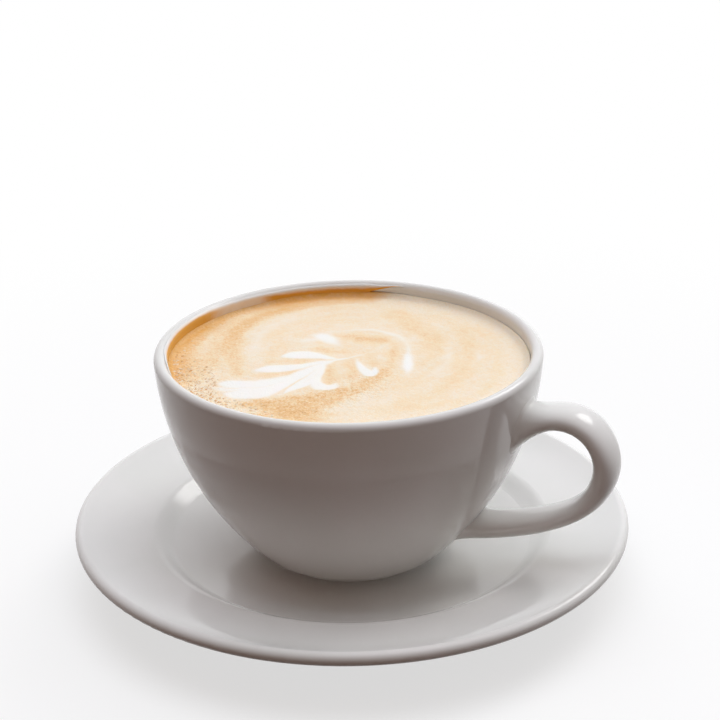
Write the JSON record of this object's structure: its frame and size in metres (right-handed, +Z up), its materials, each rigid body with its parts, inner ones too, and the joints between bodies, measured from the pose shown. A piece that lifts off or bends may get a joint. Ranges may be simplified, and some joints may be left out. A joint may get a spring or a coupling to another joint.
{
  "type": "cup of cafe au lait",
  "caption": "Wide glazed cup of milk coffee with poured leaf art in its foam, on a deep-rimmed saucer.",
  "frame": {"origin": "on the table, at the centre of the saucer's foot ring, below the axis that the cup, the drink and the saucer share", "axes": "+Z up out of the cup, +X towards the cup's handle, +Y the third of a right-handed set"},
  "size_m": [0.1584, 0.1584, 0.0693],
  "materials": {
    "cup_glaze": "gloss",
    "saucer_glaze": "gloss",
    "coffee": "satin"
  },
  "bodies": {
    "root": {"cup": "cup_glaze", "saucer": "saucer_glaze", "coffee": "coffee"}
  },
  "joints": []
}
